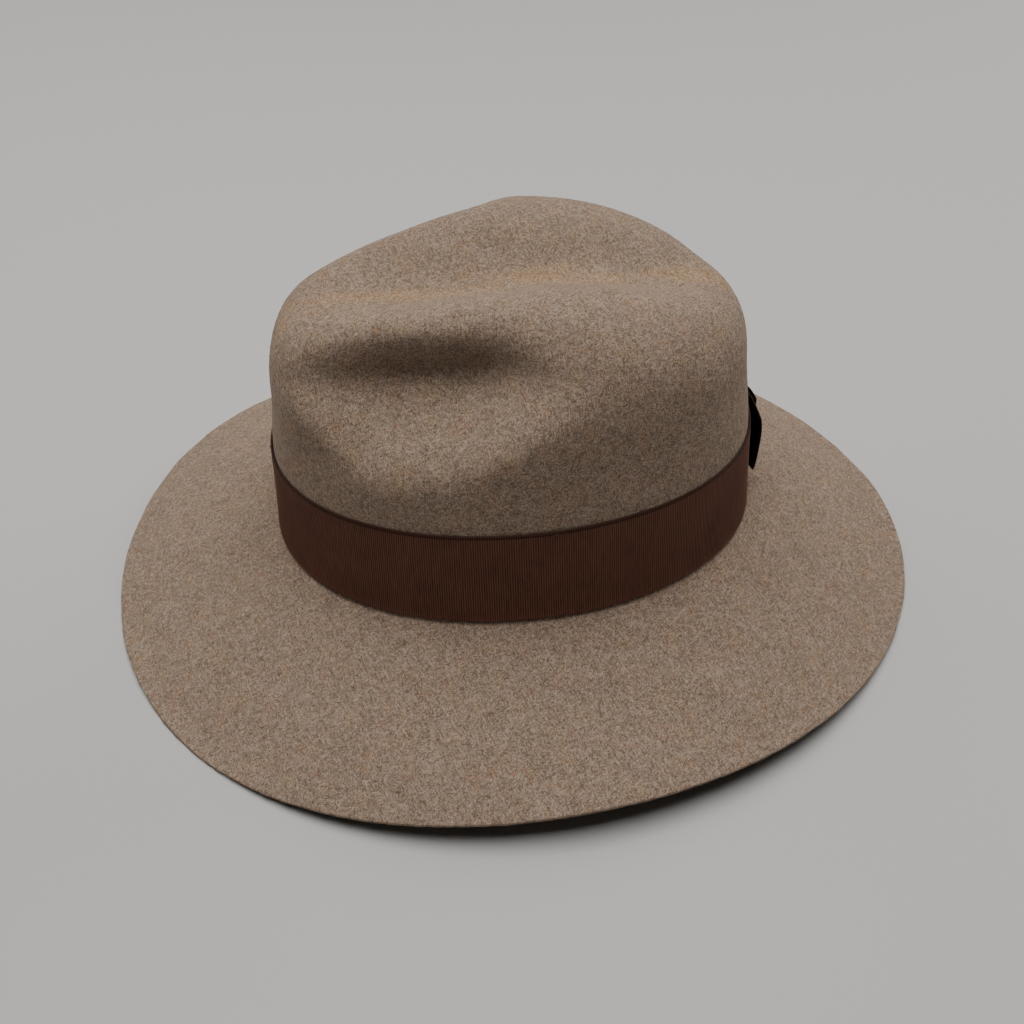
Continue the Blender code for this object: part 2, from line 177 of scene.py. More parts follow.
# ------------------------------------------------------------------ noise helpers (seeded)
_rng = np.random.RandomState(11)
_WAVES = [(_rng.normal(size=3), _rng.uniform(0, 2 * math.pi)) for _ in range(14)]


def wobble(p, scale):
    """Smooth 3-D wandering value, about -1 to 1, with features of about scale mm."""
    v = 0.0
    for d, ph in _WAVES:
        d = d / np.linalg.norm(d)
        v = v + np.sin(2 * math.pi * (p @ d) / scale + ph)
    return v / 3.6


# ------------------------------------------------------------------ mesh helpers
def build(name, verts, quads, tris=None, uv=None, smooth_faces=True):
    verts = (np.asarray(verts, float) - CENTRE) * MM
    quads = np.asarray(quads, np.int32).reshape(-1, 4)
    tris = np.zeros((0, 3), np.int32) if tris is None else np.asarray(tris, np.int32).reshape(-1, 3)
    me = bpy.data.meshes.new(name)
    nl = quads.size + tris.size
    me.vertices.add(len(verts))
    me.vertices.foreach_set("co", verts.astype(np.float32).ravel())
    me.loops.add(nl)
    loops = np.concatenate([quads.ravel(), tris.ravel()])
    me.loops.foreach_set("vertex_index", loops)
    me.polygons.add(len(quads) + len(tris))
    starts = np.concatenate([np.arange(len(quads)) * 4, quads.size + np.arange(len(tris)) * 3])
    me.polygons.foreach_set("loop_start", starts.astype(np.int32))
    me.update(calc_edges=True)
    if smooth_faces:
        me.shade_smooth()
    if uv is not None:
        lay = me.uv_layers.new(name="UVMap")
        lay.data.foreach_set("uv", np.asarray(uv, np.float32)[loops].ravel())
    me.validate()
    ob = bpy.data.objects.new(name, me)
    bpy.context.scene.collection.objects.link(ob)
    return ob


def volume_sign(v, q):
    """Sign of the enclosed volume of quads."""
    a, b, c, d = (v[q[:, i]] for i in range(4))
    return np.sum(np.einsum("ij,ij->i", a, np.cross(b, c)) + np.einsum("ij,ij->i", a, np.cross(c, d)))


def grid_faces(rows, cols, wrap_rows, wrap_cols):
    r = np.arange(rows if wrap_rows else rows - 1)
    c = np.arange(cols if wrap_cols else cols - 1)
    R, C = np.meshgrid(r, c, indexing="ij")
    R2, C2 = (R + 1) % rows, (C + 1) % cols
    return np.stack([R * cols + C, R2 * cols + C, R2 * cols + C2, R * cols + C2], -1).reshape(-1, 4)


def skin(name, grid, mat, wrap_rows, wrap_cols, pole_a=None, pole_b=None, uv=None, cap_cols=False, sharp=None):
    """A closed surface from a (rows, cols, 3) grid. Poles close the first and last rows, or the grid wraps."""
    rows, cols = grid.shape[:2]
    v = grid.reshape(-1, 3)
    q = grid_faces(rows, cols, wrap_rows, wrap_cols)
    tris = []
    extra = []
    uvs = None if uv is None else uv.reshape(-1, 2)
    nv = len(v)
    if pole_a is not None:
        extra.append(pole_a)
        i = np.arange(cols if wrap_cols else cols - 1)
        tris.append(np.stack([np.full_like(i, nv), i, (i + 1) % cols], -1))
        nv += 1
    if pole_b is not None:
        extra.append(pole_b)
        i = np.arange(cols if wrap_cols else cols - 1)
        b = (rows - 1) * cols
        tris.append(np.stack([np.full_like(i, nv), b + (i + 1) % cols, b + i], -1))
        nv += 1
    if extra:
        v = np.concatenate([v, np.array(extra)])
        if uvs is not None:
            uvs = np.concatenate([uvs, np.zeros((len(extra), 2))])
    if cap_cols:
        # end caps on the first and last column: the section is an even number of points, front half against back half
        half = rows // 2
        for col, flip in ((0, False), (cols - 1, True)):
            for i in range(half - 1):
                a, b = i * cols + col, (i + 1) * cols + col
                d, c = (rows - 1 - i) * cols + col, (rows - 2 - i) * cols + col
                f = [a, d, c, b] if not flip else [a, b, c, d]
                q = np.concatenate([q, [f]])
    tr = np.concatenate(tris) if tris else None
    if volume_sign(v - v.mean(0), q) < 0:
        q = q[:, ::-1]
        tr = tr[:, ::-1] if tr is not None else None
    ob = build(name, v, q, tr, uvs)
    if sharp is not None:
        ob.data.set_sharp_from_angle(angle=math.radians(sharp))
    ob.data.materials.append(mat)
    return ob


def normals(grid, wrap_cols=True, wrap_rows=False):
    if wrap_cols:
        dc = np.roll(grid, -1, 1) - np.roll(grid, 1, 1)
    else:
        dc = np.gradient(grid, axis=1)
    if wrap_rows:
        dr = np.roll(grid, -1, 0) - np.roll(grid, 1, 0)
    else:
        dr = np.gradient(grid, axis=0)
    n = np.cross(dr, dc)
    return n / np.maximum(np.linalg.norm(n, axis=-1), 1e-9)[..., None]


def finish_piece(ob, *nodes, slot=None):
    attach(ob, "root")
    if nodes:
        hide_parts(*nodes)
    return ob


# ------------------------------------------------------------------ materials
class Tree:
    def __init__(self, name):
        self.mat = bpy.data.materials.new(name)
        self.mat.use_nodes = True
        self.t = self.mat.node_tree
        self.p = self.t.nodes["Principled BSDF"]

    def node(self, kind, **kw):
        n = self.t.nodes.new(kind)
        for k, v in kw.items():
            setattr(n, k, v)
        return n

    def link(self, a, b):
        self.t.links.new(a, b)

    def coord(self, which="Object"):
        n = self.node("ShaderNodeTexCoord")
        return n.outputs[which]

    def turned(self, vec, scale, rot):
        """Coordinates turned first and stretched afterwards."""
        n = self.node("ShaderNodeMapping", vector_type="TEXTURE")
        n.inputs["Scale"].default_value = tuple(1.0 / c for c in scale)
        n.inputs["Rotation"].default_value = rot
        self.link(vec, n.inputs["Vector"])
        return n.outputs["Vector"]

    def mapping(self, vec, scale=(1, 1, 1), rot=(0, 0, 0), loc=(0, 0, 0)):
        n = self.node("ShaderNodeMapping")
        n.inputs["Scale"].default_value = scale
        n.inputs["Rotation"].default_value = rot
        n.inputs["Location"].default_value = loc
        self.link(vec, n.inputs["Vector"])
        return n.outputs["Vector"]

    def noise(self, vec, scale=1.0, detail=2.0, rough=0.5, distortion=0.0):
        n = self.node("ShaderNodeTexNoise")
        n.inputs["Scale"].default_value = scale
        n.inputs["Detail"].default_value = detail
        n.inputs["Roughness"].default_value = rough
        n.inputs["Distortion"].default_value = distortion
        self.link(vec, n.inputs["Vector"])
        return n.outputs["Fac"]

    def remap(self, val, a, b, c=0.0, d=1.0, smoothstep=True):
        n = self.node("ShaderNodeMapRange")
        n.interpolation_type = "SMOOTHSTEP" if smoothstep else "LINEAR"
        n.inputs["From Min"].default_value = a
        n.inputs["From Max"].default_value = b
        n.inputs["To Min"].default_value = c
        n.inputs["To Max"].default_value = d
        self.link(val, n.inputs["Value"])
        return n.outputs["Result"]

    def math(self, op, a, b=None, clamp=False):
        n = self.node("ShaderNodeMath", operation=op)
        n.use_clamp = clamp
        for i, x in enumerate((a, b)):
            if x is None:
                continue
            if isinstance(x, (int, float)):
                n.inputs[i].default_value = x
            else:
                self.link(x, n.inputs[i])
        return n.outputs[0]

    def mix(self, fac, a, b, blend="MIX"):
        n = self.node("ShaderNodeMix", data_type="RGBA", blend_type=blend)
        for sock, x in ((n.inputs[0], fac), (n.inputs[6], a), (n.inputs[7], b)):
            if isinstance(x, (int, float)):
                sock.default_value = x
            elif isinstance(x, tuple):
                sock.default_value = (*x, 1.0)
            else:
                self.link(x, sock)
        return n.outputs[2]

    def bump(self, height, strength, distance, normal=None):
        n = self.node("ShaderNodeBump")
        n.inputs["Strength"].default_value = strength
        n.inputs["Distance"].default_value = distance
        self.link(height, n.inputs["Height"])
        if normal is not None:
            self.link(normal, n.inputs["Normal"])
        return n.outputs["Normal"]

    def set(self, **kw):
        for k, v in kw.items():
            self.p.inputs[k.replace("_", " ")].default_value = v


def felt_material():
    """Wool felt: short matted fibres lying every way, light and dark ones mixed, with a few rusty ones."""
    m = Tree("felt")
    co = m.coord()
    warp = m.node("ShaderNodeTexNoise")
    warp.inputs["Scale"].default_value = 170.0
    warp.inputs["Detail"].default_value = 1.0
    m.link(co, warp.inputs["Vector"])
    bend = m.node("ShaderNodeVectorMath", operation="MULTIPLY_ADD")
    bend.inputs[1].default_value = (0.0015, 0.0015, 0.0015)
    m.link(warp.outputs["Color"], bend.inputs[0])
    m.link(co, bend.inputs[2])
    curly = bend.outputs[0]
    turns = [(0.3, 0.2, 0.1), (1.35, 0.4, 0.9), (0.7, 1.3, 2.1), (2.2, 0.9, 0.4), (1.1, 2.2, 1.5), (0.2, 1.9, 2.8),
             (1.9, 1.6, 1.0), (2.7, 0.3, 1.9), (0.9, 0.8, 0.2)]
    light = dark = height = None
    for i, r in enumerate(turns):
        across = FIBRE_ACROSS + 220.0 * (i % 3)
        v = m.turned(curly, (across, across, FIBRE_ALONG + 50.0 * (i % 2)), r)
        shifted = m.node("ShaderNodeVectorMath", operation="ADD")
        shifted.inputs[1].default_value = (3.1 * i, 1.7 * i, 5.3 * i)
        m.link(v, shifted.inputs[0])
        n = m.noise(shifted.outputs[0], 1.0, 1.0, 0.5)
        if i % 3 != 2:
            li = m.remap(n, 0.60, 0.74)
            light = li if light is None else m.math("MAXIMUM", light, li)
        if i % 3 != 0:
            dk = m.remap(n, 0.42, 0.29)
            dark = dk if dark is None else m.math("MAXIMUM", dark, dk)
        height = n if height is None else m.math("MAXIMUM", height, n)
    grain = m.noise(co, 560.0, 2.0, 0.6)
    clump = m.noise(co, 230.0, 2.0, 0.55)
    patch = m.noise(co, 85.0, 3.0, 0.55)
    tint = m.node("ShaderNodeTexNoise")
    tint.inputs["Scale"].default_value = 130.0
    tint.inputs["Detail"].default_value = 2.0
    m.link(co, tint.inputs["Vector"])
    hues = m.node("ShaderNodeSeparateColor")
    m.link(tint.outputs["Color"], hues.inputs[0])
    base = m.mix(m.remap(grain, 0.32, 0.68), FELT_MID_LO, FELT_MID_HI)
    base = m.mix(m.remap(clump, 0.50, 0.30, 0.0, 0.30), base, FELT_DEEP)
    base = m.mix(m.remap(clump, 0.52, 0.72, 0.0, 0.22), base, FELT_PALE)
    base = m.mix(m.remap(patch, 0.52, 0.32, 0.0, 0.20), base, FELT_DEEP)
    base = m.mix(m.remap(hues.outputs[0], 0.50, 0.68, 0.0, 0.34), base, FELT_WARM)
    base = m.mix(m.remap(hues.outputs[1], 0.52, 0.70, 0.0, 0.30), base, FELT_ROSE)
    # paler, yellower colour along the fold line of the crown
    sep = m.node("ShaderNodeSeparateXYZ")
    m.link(co, sep.inputs[0])
    fold = m.math("MULTIPLY", m.remap(m.math("ABSOLUTE", sep.outputs[0]), 0.013, 0.002), m.remap(sep.outputs[2], 0.120, 0.132))
    fold = m.math("MULTIPLY", fold, m.remap(m.noise(m.turned(co, (90.0, 30.0, 90.0), (0.0, 0.0, 0.0)), 1.0, 2.0, 0.6), 0.35, 0.62))
    base = m.mix(m.math("MULTIPLY", fold, 0.50), base, FELT_FOLD)
    col = m.mix(m.math("MULTIPLY", dark, 0.66), base, FELT_DARK)
    col = m.mix(m.math("MULTIPLY", light, 0.40), col, FELT_LIGHT)
    fleck = m.noise(m.turned(curly, (900.0, 900.0, 300.0), (0.9, 0.5, 2.0)), 1.0, 1.0, 0.5)
    col = m.mix(m.remap(fleck, 0.67, 0.77, 0.0, 0.60), col, FELT_FLECK)
    fleck2 = m.noise(m.turned(curly, (300.0, 900.0, 900.0), (0.2, 1.1, 0.6)), 1.0, 1.0, 0.5)
    col = m.mix(m.remap(fleck2, 0.68, 0.78, 0.0, 0.45), col, FELT_PINK)
    m.link(col, m.p.inputs["Base Color"])
    m.set(Roughness=1.0, Sheen_Weight=0.10, Sheen_Roughness=0.5, Specular_IOR_Level=0.08)
    m.p.inputs["Sheen Tint"].default_value = (0.80, 0.70, 0.60, 1.0)
    h = m.math("ADD", m.math("MULTIPLY", height, 1.3), m.math("MULTIPLY", grain, 0.8))
    m.link(m.bump(h, 0.6, 0.00030), m.p.inputs["Normal"])
    return m.mat


# colours, linear
FIBRE_ACROSS, FIBRE_ALONG = 1650.0, 250.0
FELT_MID_LO, FELT_MID_HI = (0.232, 0.168, 0.122), (0.335, 0.252, 0.192)
FELT_WARM, FELT_ROSE = (0.360, 0.225, 0.125), (0.330, 0.205, 0.165)
FELT_DEEP, FELT_PALE = (0.150, 0.105, 0.076), (0.420, 0.335, 0.262)
FELT_DARK, FELT_LIGHT = (0.075, 0.047, 0.031), (0.620, 0.490, 0.375)
FELT_FLECK, FELT_PINK = (0.430, 0.190, 0.085), (0.400, 0.210, 0.170)
FELT_FOLD = (0.420, 0.260, 0.120)


def grosgrain_material(name, lo, hi, top=None):
    """UV: u along the ribbon in rib counts, v across it in millimetres; top is the edge where painted shade darkens
    the selvedge, against the light its upward face catches.
    """
    m = Tree(name)
    uv = m.coord("UV")
    sep = m.node("ShaderNodeSeparateXYZ")
    m.link(uv, sep.inputs[0])
    u, v = sep.outputs[0], sep.outputs[1]
    rib = m.math("COSINE", m.math("MULTIPLY", u, 2 * math.pi))
    # warp threads crossing the ribs, and small differences from rib to rib
    thread = m.math("SINE", m.math("MULTIPLY", v, 2 * math.pi / 0.34))
    vary = m.noise(m.mapping(uv, scale=(0.8, 0.10, 1.0)), 1.0, 2.0, 0.6)
    fine = m.noise(m.mapping(uv, scale=(2.2, 3.2, 1.0)), 1.0, 2.0, 0.6)
    wear = m.noise(m.coord(), 40.0, 3.0, 0.6)
    f = m.math("ADD", m.math("MULTIPLY", rib, 0.34), m.math("MULTIPLY", thread, 0.07))
    f = m.math("ADD", f, m.math("MULTIPLY", vary, 0.45))
    f = m.math("ADD", f, m.math("MULTIPLY", fine, 0.50))
    f = m.math("ADD", f, m.math("MULTIPLY", wear, 0.35))
    col = m.mix(m.remap(f, 0.20, 1.12, smoothstep=False), lo, hi)
    if top is not None:
        # painted shade along the top selvedge, which faces the overhead light
        col = m.mix(m.remap(v, top - 1.5, top - 0.7, 0.0, 0.80), col, tuple(0.55 * c for c in lo))
    m.link(col, m.p.inputs["Base Color"])
    m.set(Roughness=0.60, Sheen_Weight=0.0, Sheen_Roughness=0.4, Specular_IOR_Level=0.12)
    m.p.inputs["Sheen Tint"].default_value = (0.60, 0.40, 0.32, 1.0)
    h = m.math("ADD", m.math("MULTIPLY", rib, 0.5), m.math("MULTIPLY", thread, 0.22))
    m.link(m.bump(h, 0.5, 0.00012), m.p.inputs["Normal"])
    return m.mat


def leather_material():
    m = Tree("sweatband_leather")
    co = m.coord()
    vor = m.node("ShaderNodeTexVoronoi", feature="DISTANCE_TO_EDGE")
    vor.inputs["Scale"].default_value = 900.0
    m.link(co, vor.inputs["Vector"])
    n1 = m.noise(co, 60.0, 4.0, 0.6)
    n2 = m.noise(co, 1500.0, 2.0, 0.6)
    col = m.mix(m.remap(n1, 0.3, 0.7), (0.060, 0.030, 0.018), (0.105, 0.056, 0.034))
    crack = m.remap(vor.outputs["Distance"], 0.0, 0.12)
    col = m.mix(m.math("MULTIPLY", m.math("SUBTRACT", 1.0, crack), 0.45), col, (0.035, 0.018, 0.011))
    m.link(col, m.p.inputs["Base Color"])
    m.link(m.remap(n1, 0.3, 0.7, 0.42, 0.58), m.p.inputs["Roughness"])
    m.set(Specular_IOR_Level=0.45)
    h = m.math("ADD", m.math("MULTIPLY", crack, 0.8), m.math("MULTIPLY", n2, 0.4))
    m.link(m.bump(h, 0.4, 0.00015), m.p.inputs["Normal"])
    return m.mat


def woven_material(name, lo, hi, pitch=0.5, rough=0.8):
    """Plain weave in UV millimetres."""
    m = Tree(name)
    uv = m.coord("UV")
    sep = m.node("ShaderNodeSeparateXYZ")
    m.link(uv, sep.inputs[0])
    a = m.math("SINE", m.math("MULTIPLY", sep.outputs[0], 2 * math.pi / pitch))
    b = m.math("SINE", m.math("MULTIPLY", sep.outputs[1], 2 * math.pi / pitch))
    w = m.math("MULTIPLY", a, b)
    n = m.noise(m.coord(), 420.0, 3.0, 0.6)
    f = m.math("ADD", m.math("MULTIPLY", w, 0.3), n)
    m.link(m.mix(m.remap(f, 0.2, 0.85), lo, hi), m.p.inputs["Base Color"])
    m.set(Roughness=rough, Sheen_Weight=0.1)
    m.link(m.bump(w, 0.5, 0.0001), m.p.inputs["Normal"])
    return m.mat


def thread_material(name, lo, hi):
    """UV: u along the thread in millimetres, v round it 0..1."""
    m = Tree(name)
    uv = m.coord("UV")
    sep = m.node("ShaderNodeSeparateXYZ")
    m.link(uv, sep.inputs[0])
    ph = m.math("ADD", m.math("MULTIPLY", sep.outputs[0], 2 * math.pi / 0.7), m.math("MULTIPLY", sep.outputs[1], 4 * math.pi))
    s = m.math("SINE", ph)
    m.link(m.mix(m.remap(s, -1.0, 1.0), lo, hi), m.p.inputs["Base Color"])
    m.set(Roughness=0.6, Sheen_Weight=0.1)
    m.link(m.bump(s, 0.6, 0.00008), m.p.inputs["Normal"])
    return m.mat


MAT_FELT = felt_material()
MAT_RIBBON = grosgrain_material("grosgrain", (0.033, 0.0112, 0.0066), (0.222, 0.097, 0.0640), RIBBON_WIDTH)
# painted shade: the bow is the same grosgrain as the band, coloured several times darker for the shade it sits in
MAT_BOW_PAINTED_SHADE = grosgrain_material("grosgrain_bow_painted_shade", (0.014, 0.0048, 0.0030), (0.045, 0.0175, 0.0105))
MAT_LEATHER = leather_material()
MAT_TAPE = woven_material("reed_tape_weave", (0.075, 0.045, 0.030), (0.15, 0.10, 0.070))
MAT_LABEL = woven_material("label_satin", (0.46, 0.41, 0.33), (0.62, 0.57, 0.48), pitch=0.35, rough=0.45)
MAT_THREAD = thread_material("thread_brown", (0.10, 0.065, 0.045), (0.24, 0.17, 0.12))
MAT_TACK = thread_material("thread_dark", (0.022, 0.009, 0.006), (0.055, 0.025, 0.017))
MAT_REED = woven_material("reed_plastic", (0.45, 0.40, 0.32), (0.60, 0.55, 0.46), pitch=1.4, rough=0.4)

# ------------------------------------------------------------------ felt body
NT = 640
K = 1.0
t = np.arange(NT) * 2 * math.pi / NT
s_rows = np.linspace(0.006, 1.0, int(135 * K))
f_rows = np.linspace(0.0, 1.0, 9)[1:]
q_rows = np.linspace(0.0, 1.0, int(84 * K))[1:]
crown_g = np.stack([crown(t, np.full(NT, s)) for s in s_rows])
fillet_g = np.stack([fillet(t, np.full(NT, f)) for f in f_rows])
L = np.hypot(*edge_xy(t)) - np.hypot(*fillet(t, np.ones(NT))[:, :2].T)
brim_g = np.stack([brim(t, q * (1.0 - 1.0 / L)) for q in q_rows])
outer = np.concatenate([crown_g, fillet_g, brim_g])
nrm = normals(outer)
if nrm[len(s_rows) // 2, 0] @ np.array([0.0, -1.0, 0.3]) < 0:
    nrm = -nrm
# soft unevenness of hand-shaped felt, none where the ribbon sits
zc = outer[..., 2]
mask = np.zeros(outer.shape[:2])
nc, nf = len(s_rows), len(f_rows)
mask[:nc] = smooth(zc[:nc] - break_z(t)[None, :], 43.0, 70.0)
mask[nc + nf:] = smooth(q_rows, 0.08, 0.45)[:, None]
bump = 0.42 * wobble(outer, 62.0) + 0.22 * wobble(outer + 31.0, 27.0)
tiny = 0.05 * wobble(outer * 1.3 + 7.0, 5.1) + 0.03 * wobble(outer + 3.0, 2.9)
outer = outer + nrm * (mask * bump + np.minimum(mask + 0.25, 1.0) * tiny)[..., None]
brimz = outer[nc + nf:, :, 2]
nrm = normals(outer)
if nrm[len(s_rows) // 2, 0] @ np.array([0.0, -1.0, 0.3]) < 0:
    nrm = -nrm
nrm[:2] = np.array([0.0, 0.0, 1.0])
# cut edge: nearly square, corners worn round
last, ln = outer[-1], nrm[-1]
radial = last - outer[-3]
radial /= np.linalg.norm(radial, axis=1)[:, None]
mid = last - ln * (FELT / 2)
rim = []
edge_rough = 1.0 + 0.05 * np.sin(37 * t + 1.0) + 0.04 * np.sin(91 * t) + 0.04 * np.sin(213 * t + 2.0)
for k in range(1, 12):
    b = math.pi * k / 12
    ra = math.copysign(abs(math.sin(b)) ** 0.62, 1.0)
    up = math.copysign(abs(math.cos(b)) ** 0.72, math.cos(b))
    rim.append(mid + radial * (1.0 * ra * edge_rough)[:, None] + ln * (FELT / 2 * up))
rim = np.stack(rim)
pick = np.unique(np.concatenate([np.arange(0, nc, 1), np.arange(nc, len(outer), 1)]))
under = (outer - FELT * nrm)[pick][::-1]
mesh_grid = np.concatenate([outer, rim, under])
mesh_grid[..., 2] = np.where(mesh_grid[..., 2] < 0.6,
                             0.5 * (mesh_grid[..., 2] + np.sqrt(mesh_grid[..., 2] ** 2 + 0.02)), mesh_grid[..., 2])
mesh_grid[..., 2] = np.maximum(mesh_grid[..., 2], 0.0)
pole_out = outer[0].mean(0)
pole_in = under[-1].mean(0)
felt = skin("felt_hood", mesh_grid, MAT_FELT, False, True, pole_out, pole_in)
finish_piece(felt, "felt_body", slot="felt")


# ------------------------------------------------------------------ ribbon strips
def ribbon_strip(name, width_rows, tt, out_in, out_out, mat, ribs=True, wave=0.0, uvec=None):
    """Strip with rounded selvedges. tt: column angles; width_rows: heights; out_*: functions (t, h) -> mm."""
    hs = np.asarray(width_rows)
    arc = np.concatenate([[0], np.cumsum(np.linalg.norm(np.diff(wall(tt, 20.0, 0.5), axis=0), axis=1))])
    rows, uv = [], []
    for h in hs:
        o = out_out(tt, h)
        if ribs:
            edge = min(h - hs[0], hs[-1] - h)
            amp = 0.075 * float(smooth(np.array(edge), 0.9, 1.3))
            o = o + amp * np.cos(2 * math.pi * arc / RIB)
        rows.append(wall(tt, h + 0.5, o))
        uv.append(np.stack([arc / RIB, np.full_like(arc, h)], -1))
    for h in hs[::-1]:
        rows.append(wall(tt, h + 0.5, out_in(tt, h)))
        uv.append(np.stack([arc / RIB, np.full_like(arc, h)], -1))
    return skin(name, np.stack(rows), mat, True, False, uv=np.stack(uv), cap_cols=True)


def soft_rows(h0, h1, n, edge=0.9):
    a = np.array([0.0, 0.12, 0.35, 0.7]) * edge
    return np.concatenate([h0 + a, np.linspace(h0 + edge + 0.25, h1 - edge - 0.25, n), h1 - a[::-1]])


RIB_LOW = -0.9            # the lower edge follows the turn into the brim
rib_rows = soft_rows(RIB_LOW, RIBBON_WIDTH, 14)
ncol = 2760
slit = 0.4 / HEAD_HALF_W
TC = np.linspace(math.pi + slit, 3 * math.pi - slit, ncol)


def sel(h, h0, h1):
    """Rounded, slightly thicker selvedge: mm added to the outer face near each edge."""
    e = np.minimum(h - h0, h1 - h)
    return -0.30 * (1 - smooth(e, 0.0, 0.32)) + 0.10 * np.exp(-((e - 0.62) / 0.28) ** 2) - 0.10 * np.exp(-((e - 1.25) / 0.18) ** 2)


def ribbon_lift(tt, h):
    top = smooth(h, 26.0, RIBBON_WIDTH)
    low = 1 - smooth(h, 0.0, 10.0)
    drop = np.clip(-h, 0.0, 2.6)                      # felt's own turn outwards below the wall
    turn = FILLET - np.sqrt(FILLET ** 2 - drop ** 2)
    return (top * (0.12 + 0.10 * np.sin(5 * tt + 0.6) + 0.05 * np.sin(13 * tt))
            + low * (0.10 + 0.05 * np.sin(7 * tt + 2.0)) + turn)


ribbon = ribbon_strip("hatband_grosgrain", rib_rows, TC,
                      lambda tt, h: 0.12 + 0 * tt + np.maximum(ribbon_lift(tt, h), 0.0),
                      lambda tt, h: 0.86 + sel(h, RIB_LOW, RIBBON_WIDTH) + np.maximum(ribbon_lift(tt, h), 0.0),
                      MAT_RIBBON)
finish_piece(ribbon, "hatband_ribbon", slot="ribbon")


# ------------------------------------------------------------------ bow
def back_angle(u):
    return math.pi - np.asarray(u, float) / HEAD_HALF_W


def bow_half(h):
    return TAIL_LOW + (TAIL_TOP - TAIL_LOW) * h / RIBBON_WIDTH


def tail_off(f, h):
    return 2.0 + (TAIL_STAND + TAIL_BELLY * np.sin(math.pi * h / RIBBON_WIDTH)) * f * f


def bow_angle(f, h):
    return back_angle(BOW_AT + f * bow_half(h))


# tails: one stiff strip, ends cut on a slant and standing off the wall
fs = np.linspace(-1.0, 1.0, 520)
hrows = soft_rows(0.5, 40.3, 16)
rows, uv = [], []
for side, seq in ((1, hrows), (0, hrows[::-1])):
    for h in seq:
        u = fs * bow_half(h)
        # a slight ripple in the standing ends
        o = tail_off(fs, h) + 0.14 * np.sin(h * 0.21 + 1.0) * fs ** 2 + (0.0 if side == 0 else 0.5)
        if side == 1:
            e = min(h - 0.5, 40.3 - h)
            o = o + sel(h, 0.5, 40.3) * 0.6 + 0.06 * float(smooth(np.array(e), 0.9, 1.3)) * np.cos(2 * math.pi * u / RIB)
        rows.append(wall(bow_angle(fs, h), h + 0.5, o))
        uv.append(np.stack([u / RIB, np.full_like(u, h)], -1))
strip = skin("bow_tails", np.stack(rows), MAT_BOW_PAINTED_SHADE, True, False, uv=np.stack(uv), cap_cols=True)
finish_piece(strip, "bow_strip", slot="bow")


def loop_path(h, n, inset, waist_depth):
    """Closed path (f, out) of the flattened loop at height h, evenly spaced along its length."""
    end, depth, half = LOOP_SHARE, LOOP_DEPTH, bow_half(h)
    rad = depth / 2
    g = np.linspace(-end, end, 160)
    mid = tail_off(end, h) + 0.85 + rad
    a = np.linspace(-math.pi / 2, math.pi / 2, 22)[1:-1]
    ends = (rad + 0.4 - inset) * np.cos(a) / half
    waist = waist_depth * np.exp(-(g * half / 7.0) ** 2)
    belly = 0.30 * np.sin(math.pi * np.clip(np.abs(g) / end, 0, 1))
    back = np.stack([g, tail_off(g, h) + 0.85 + inset], -1)
    front = np.stack([g, tail_off(g, h) + 0.85 + depth - waist + belly - inset], -1)[::-1]
    right = np.stack([end + ends, mid + (rad - inset) * np.sin(a)], -1)
    left = np.stack([-end - ends, mid - (rad - inset) * np.sin(a)], -1)
    p = np.concatenate([back, right, front, left])
    p = np.concatenate([p, p[:1]])
    d = np.concatenate([[0], np.cumsum(np.hypot(np.diff(p[:, 0]) * half, np.diff(p[:, 1])))])
    s_ = np.linspace(0, d[-1], n + 1)[:-1]
    return np.interp(s_, d, p[:, 0]), np.interp(s_, d, p[:, 1]), s_


n_loop = 560
rows, uv = [], []
ks_ = np.concatenate([[0.0, 0.004, 0.012, 0.022], np.linspace(0.04, 0.96, 24), [0.978, 0.988, 0.996, 1.0]])
for side, seq in ((0, ks_), (1, ks_[::-1])):
    for k in seq:
        h0 = 1.2 + 38.2 * k
        e = min(k, 1 - k) * 38.2
        f, o, sa = loop_path(h0, n_loop, 0.5 * side + (0.16 * (1 - float(smooth(np.array(e), 0.0, 0.5))) * (1 if side == 0 else -1)), 0.75)
        gather = np.exp(-(f * bow_half(h0) / 9.0) ** 2)
        lo, hi = 1.2 + 2.6 * gather, 39.4 - 2.6 * gather
        h = lo + (hi - lo) * k
        front = smooth(o - tail_off(f, h0), 1.6, 2.2)
        pleat = 0.20 * gather * math.cos(2 * math.pi * k * 4.0) * front
        ribs = 0.05 * np.cos(2 * math.pi * sa / RIB) * front * (1 - side) * float(smooth(np.array(e), 0.9, 1.3))
        rows.append(wall(bow_angle(f, h0), h + 0.5, o + pleat + ribs))
        uv.append(np.stack([sa / RIB, h], -1))
loop = skin("bow_loop_ribbon", np.stack(rows), MAT_BOW_PAINTED_SHADE, True, True, uv=np.stack(uv))
finish_piece(loop, "bow_loop", slot="bow")

KNOT_LOW, KNOT_HIGH, KNOT_FRONT, KNOT_BACK = 0.1, 40.7, 5.15, 1.65


def knot_path(n, grow):
    h0, h1, o0, o1 = KNOT_LOW - grow, KNOT_HIGH + grow, KNOT_BACK - grow * 0.6, KNOT_FRONT + grow
    r = 0.7 + grow * 0.5
    pts = []
    for (ch, co_, a0) in ((h0 + r, o0 + r * 0.5, math.pi), (h1 - r, o0 + r * 0.5, 1.5 * math.pi),
                          (h1 - r, o1 - r, 0.0), (h0 + r, o1 - r, 0.5 * math.pi)):
        ro = r * 0.5 if co_ < 2.5 else r
        for k in range(9):
            a = a0 + (math.pi / 2) * k / 8
            pts.append((ch + r * math.cos(a), co_ + ro * math.sin(a)))
    p = np.array(pts + pts[:1])
    d = np.concatenate([[0], np.cumsum(np.hypot(*np.diff(p, axis=0).T))])
    s_ = np.linspace(0, d[-1], n + 1)[:-1]
    return np.interp(s_, d, p[:, 0]), np.interp(s_, d, p[:, 1]), s_


